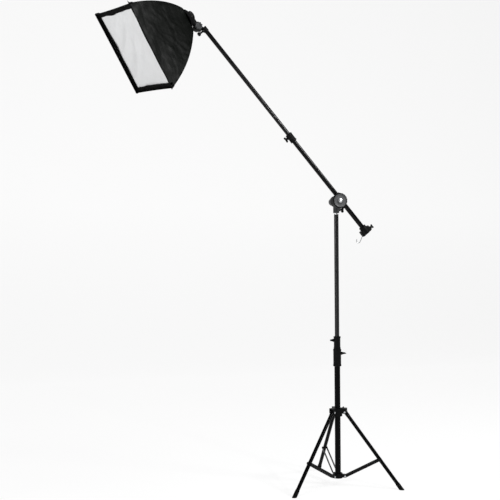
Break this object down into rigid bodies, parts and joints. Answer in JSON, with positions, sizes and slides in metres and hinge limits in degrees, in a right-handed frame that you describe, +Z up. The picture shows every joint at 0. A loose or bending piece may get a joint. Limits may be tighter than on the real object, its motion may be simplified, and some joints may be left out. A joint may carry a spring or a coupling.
{
  "type": "boom stand softbox light",
  "caption": "Small rectangular softbox on a tilting lamp holder, carried by a telescopic boom on a folding light stand.",
  "frame": {"origin": "point on the floor on the axis of the stand's column", "axes": "+Z up; the boom lies in the XZ plane and rises toward -X; the clamp's large knob faces -Y"},
  "size_m": [1.6302, 0.7472, 2.5422],
  "materials": {
    "black_tube": "satin black powder coat",
    "black_alloy": "satin black anodised aluminium",
    "black_plastic": "fine-textured black nylon",
    "grey_plastic": "dark grey moulded nylon",
    "rubber": "matt black rubber",
    "bright_steel": "bright plated steel",
    "zinc": "zinc-plated steel",
    "brass": "bright",
    "ceramic": "white heat-resistant insulator",
    "opal": "frosted opal",
    "black_cloth": "coated black nylon, slight sheen, silver inside",
    "diffuser": "translucent white nylon",
    "rib_steel": "spring steel"
  },
  "bodies": {
    "stand_base": {"base_tube": "black_tube", "bottom_hub": "black_plastic", "hub_pins": "zinc", "base_lock_collar": "black_plastic"},
    "base_lock_knob": {"base_lock_knob": "black_plastic"},
    "leg_slider": {"leg_collar": "black_plastic", "leg_pins": "zinc"},
    "leg_collar_knob": {"leg_collar_knob": "black_plastic"},
    "leg_1": {"leg_1": "black_tube", "foot_1": "rubber"},
    "leg_2": {"leg_2": "black_tube", "foot_2": "rubber"},
    "leg_3": {"leg_3": "black_tube", "foot_3": "rubber"},
    "brace_1": {"brace_1": "black_tube"},
    "brace_2": {"brace_2": "black_tube"},
    "brace_3": {"brace_3": "black_tube"},
    "mid_section": {"mid_tube": "black_tube", "mid_lock_collar": "black_plastic"},
    "mid_lock_knob": {"mid_lock_knob": "black_plastic"},
    "top_section": {"top_tube": "black_tube", "top_stud": "bright_steel"},
    "pan_head": {"pan_receiver": "grey_plastic", "tilt_bolt": "bright_steel"},
    "pan_knob": {"pan_knob": "black_plastic"},
    "boom_clamp": {"boom_clamp": "black_plastic"},
    "tilt_knob": {"tilt_knob": "grey_plastic", "tilt_knob_cap": "bright_steel"},
    "boom_outer": {"boom_outer_tube": "black_alloy", "boom_lock_collar": "black_plastic", "tail_block": "black_plastic"},
    "boom_lock_knob": {"boom_lock_knob": "black_plastic"},
    "tail_knob": {"tail_knob": "black_plastic"},
    "tail_hook": {"tail_hook": "zinc"},
    "boom_inner": {"boom_inner_tube": "black_alloy", "boom_tip_stud": "bright_steel"},
    "head_bracket": {"swivel_bracket": "black_plastic", "head_tilt_bolt": "bright_steel"},
    "swivel_knob": {"swivel_knob": "black_plastic"},
    "head_tilt_knob": {"head_tilt_knob": "grey_plastic"},
    "lamp_head": {"lamp_holder": "black_plastic", "ring_nut": "black_plastic", "lamp_socket": "ceramic", "socket_shell": "brass", "power_gland": "rubber", "bulb_base": "brass", "bulb_glass": "opal"},
    "power_switch": {"power_switch": "black_plastic"},
    "softbox": {"speedring": "black_tube", "ribs": "rib_steel", "panel_top": "black_cloth", "panel_bottom": "black_cloth", "panel_near": "black_cloth", "panel_far": "black_cloth", "front_hem": "black_cloth", "diffuser_band": "black_cloth", "diffuser": "diffuser"}
  },
  "joints": [
    {"name": "base_lock_knob_turn", "type": "hinge", "parent": "stand_base", "child": "base_lock_knob", "pos_m": [0.03, 0, 0.724], "axis": [1, 0, 0], "continuous": true},
    {"name": "leg_fold", "type": "slide", "parent": "stand_base", "child": "leg_slider", "axis": [0, 0, 1], "range_m": [0, 0.17408]},
    {"name": "leg_collar_knob_turn", "type": "hinge", "parent": "leg_slider", "child": "leg_collar_knob", "pos_m": [0.03208, 0.01634, 0.412], "axis": [0.891, 0.454, 0], "continuous": true},
    {"name": "leg_1_hinge", "type": "hinge", "parent": "leg_slider", "child": "leg_1", "pos_m": [0.03606, -0.02342, 0.404], "axis": [0.5446, 0.8387, 0], "range_deg": [0, 37.03]},
    {"name": "leg_2_hinge", "type": "hinge", "parent": "leg_slider", "child": "leg_2", "pos_m": [0.00225, 0.04294, 0.404], "axis": [-0.9986, 0.0523, 0], "range_deg": [0, 37.03]},
    {"name": "leg_3_hinge", "type": "hinge", "parent": "leg_slider", "child": "leg_3", "pos_m": [-0.03831, -0.01952, 0.404], "axis": [0.454, -0.891, 0], "range_deg": [0, 37.03]},
    {"name": "brace_1_hinge", "type": "hinge", "parent": "stand_base", "child": "brace_1", "pos_m": [0.03606, -0.02342, 0.054], "axis": [-0.5446, -0.8387, 0], "range_deg": [0, 61.51]},
    {"name": "brace_2_hinge", "type": "hinge", "parent": "stand_base", "child": "brace_2", "pos_m": [0.00225, 0.04294, 0.054], "axis": [0.9986, -0.0523, 0], "range_deg": [0, 61.51]},
    {"name": "brace_3_hinge", "type": "hinge", "parent": "stand_base", "child": "brace_3", "pos_m": [-0.03831, -0.01952, 0.054], "axis": [-0.454, 0.891, 0], "range_deg": [0, 61.51]},
    {"name": "mid_extend", "type": "slide", "parent": "stand_base", "child": "mid_section", "axis": [0, 0, 1], "range_m": [0, 0.52]},
    {"name": "mid_lock_knob_turn", "type": "hinge", "parent": "mid_section", "child": "mid_lock_knob", "pos_m": [-0.02349, 0.00855, 0.7963], "axis": [-0.9397, 0.342, 0], "continuous": true},
    {"name": "top_extend", "type": "slide", "parent": "mid_section", "child": "top_section", "axis": [0, 0, 1], "range_m": [-0.62, 0.02]},
    {"name": "head_pan", "type": "hinge", "parent": "top_section", "child": "pan_head", "pos_m": [0, 0, 1.513], "axis": [0, 0, 1], "continuous": true},
    {"name": "pan_knob_turn", "type": "hinge", "parent": "pan_head", "child": "pan_knob", "pos_m": [0.03, 0, 1.521], "axis": [1, 0, 0], "continuous": true},
    {"name": "boom_tilt", "type": "hinge", "parent": "pan_head", "child": "boom_clamp", "pos_m": [-0.014, -0.055, 1.563], "axis": [0, 1, 0], "range_deg": [-80, 38]},
    {"name": "tilt_knob_turn", "type": "hinge", "parent": "pan_head", "child": "tilt_knob", "pos_m": [-0.014, -0.085, 1.563], "axis": [0, -1, 0], "continuous": true},
    {"name": "boom_slide", "type": "slide", "parent": "boom_clamp", "child": "boom_outer", "axis": [-0.6521, 0, 0.7581], "range_m": [-0.34, 0.14]},
    {"name": "boom_lock_knob_turn", "type": "hinge", "parent": "boom_outer", "child": "boom_lock_knob", "pos_m": [-0.30558, -0.055, 1.89126], "axis": [-0.7581, 0, -0.6521], "continuous": true},
    {"name": "tail_knob_turn", "type": "hinge", "parent": "boom_outer", "child": "tail_knob", "pos_m": [0.18235, -0.055, 1.4206], "axis": [0.7581, 0, 0.6521], "continuous": true},
    {"name": "tail_hook_turn", "type": "hinge", "parent": "boom_outer", "child": "tail_hook", "pos_m": [0.13506, -0.055, 1.3767], "axis": [-0.4274, 0, -0.9041], "continuous": true},
    {"name": "boom_extend", "type": "slide", "parent": "boom_outer", "child": "boom_inner", "axis": [-0.6521, 0, 0.7581], "range_m": [-0.55, 0.02]},
    {"name": "head_swivel", "type": "hinge", "parent": "boom_inner", "child": "head_bracket", "pos_m": [-0.75353, -0.055, 2.45038], "axis": [-0.6521, 0, 0.7581], "continuous": true},
    {"name": "swivel_knob_turn", "type": "hinge", "parent": "head_bracket", "child": "swivel_knob", "pos_m": [-0.77261, -0.06084, 2.43529], "axis": [-0.7372, -0.2334, -0.6341], "continuous": true},
    {"name": "head_tilt", "type": "hinge", "parent": "head_bracket", "child": "lamp_head", "pos_m": [-0.80068, -0.0627, 2.45599], "axis": [0.177, -0.9724, 0.1522], "range_deg": [-80, 40]},
    {"name": "head_tilt_knob_turn", "type": "hinge", "parent": "head_bracket", "child": "head_tilt_knob", "pos_m": [-0.79714, -0.08215, 2.45904], "axis": [0.177, -0.9724, 0.1522], "continuous": true},
    {"name": "power_switch_rock", "type": "hinge", "parent": "lamp_head", "child": "power_switch", "pos_m": [-0.82175, -0.05815, 2.50961], "axis": [-0.177, 0.9724, -0.1522], "range_deg": [0, 16]},
    {"name": "softbox_turn", "type": "hinge", "parent": "lamp_head", "child": "softbox", "pos_m": [-0.86599, -0.06911, 2.49098], "axis": [-0.7861, -0.2327, -0.5726], "continuous": true}
  ],
  "couplings": [
    {"joint": "leg_1_hinge", "follows": "leg_fold", "rad_per_m": 3.7116},
    {"joint": "leg_2_hinge", "follows": "leg_fold", "rad_per_m": 3.7116},
    {"joint": "leg_3_hinge", "follows": "leg_fold", "rad_per_m": 3.7116},
    {"joint": "brace_1_hinge", "follows": "leg_fold", "rad_per_m": 6.1653},
    {"joint": "brace_2_hinge", "follows": "leg_fold", "rad_per_m": 6.1653},
    {"joint": "brace_3_hinge", "follows": "leg_fold", "rad_per_m": 6.1653}
  ]
}
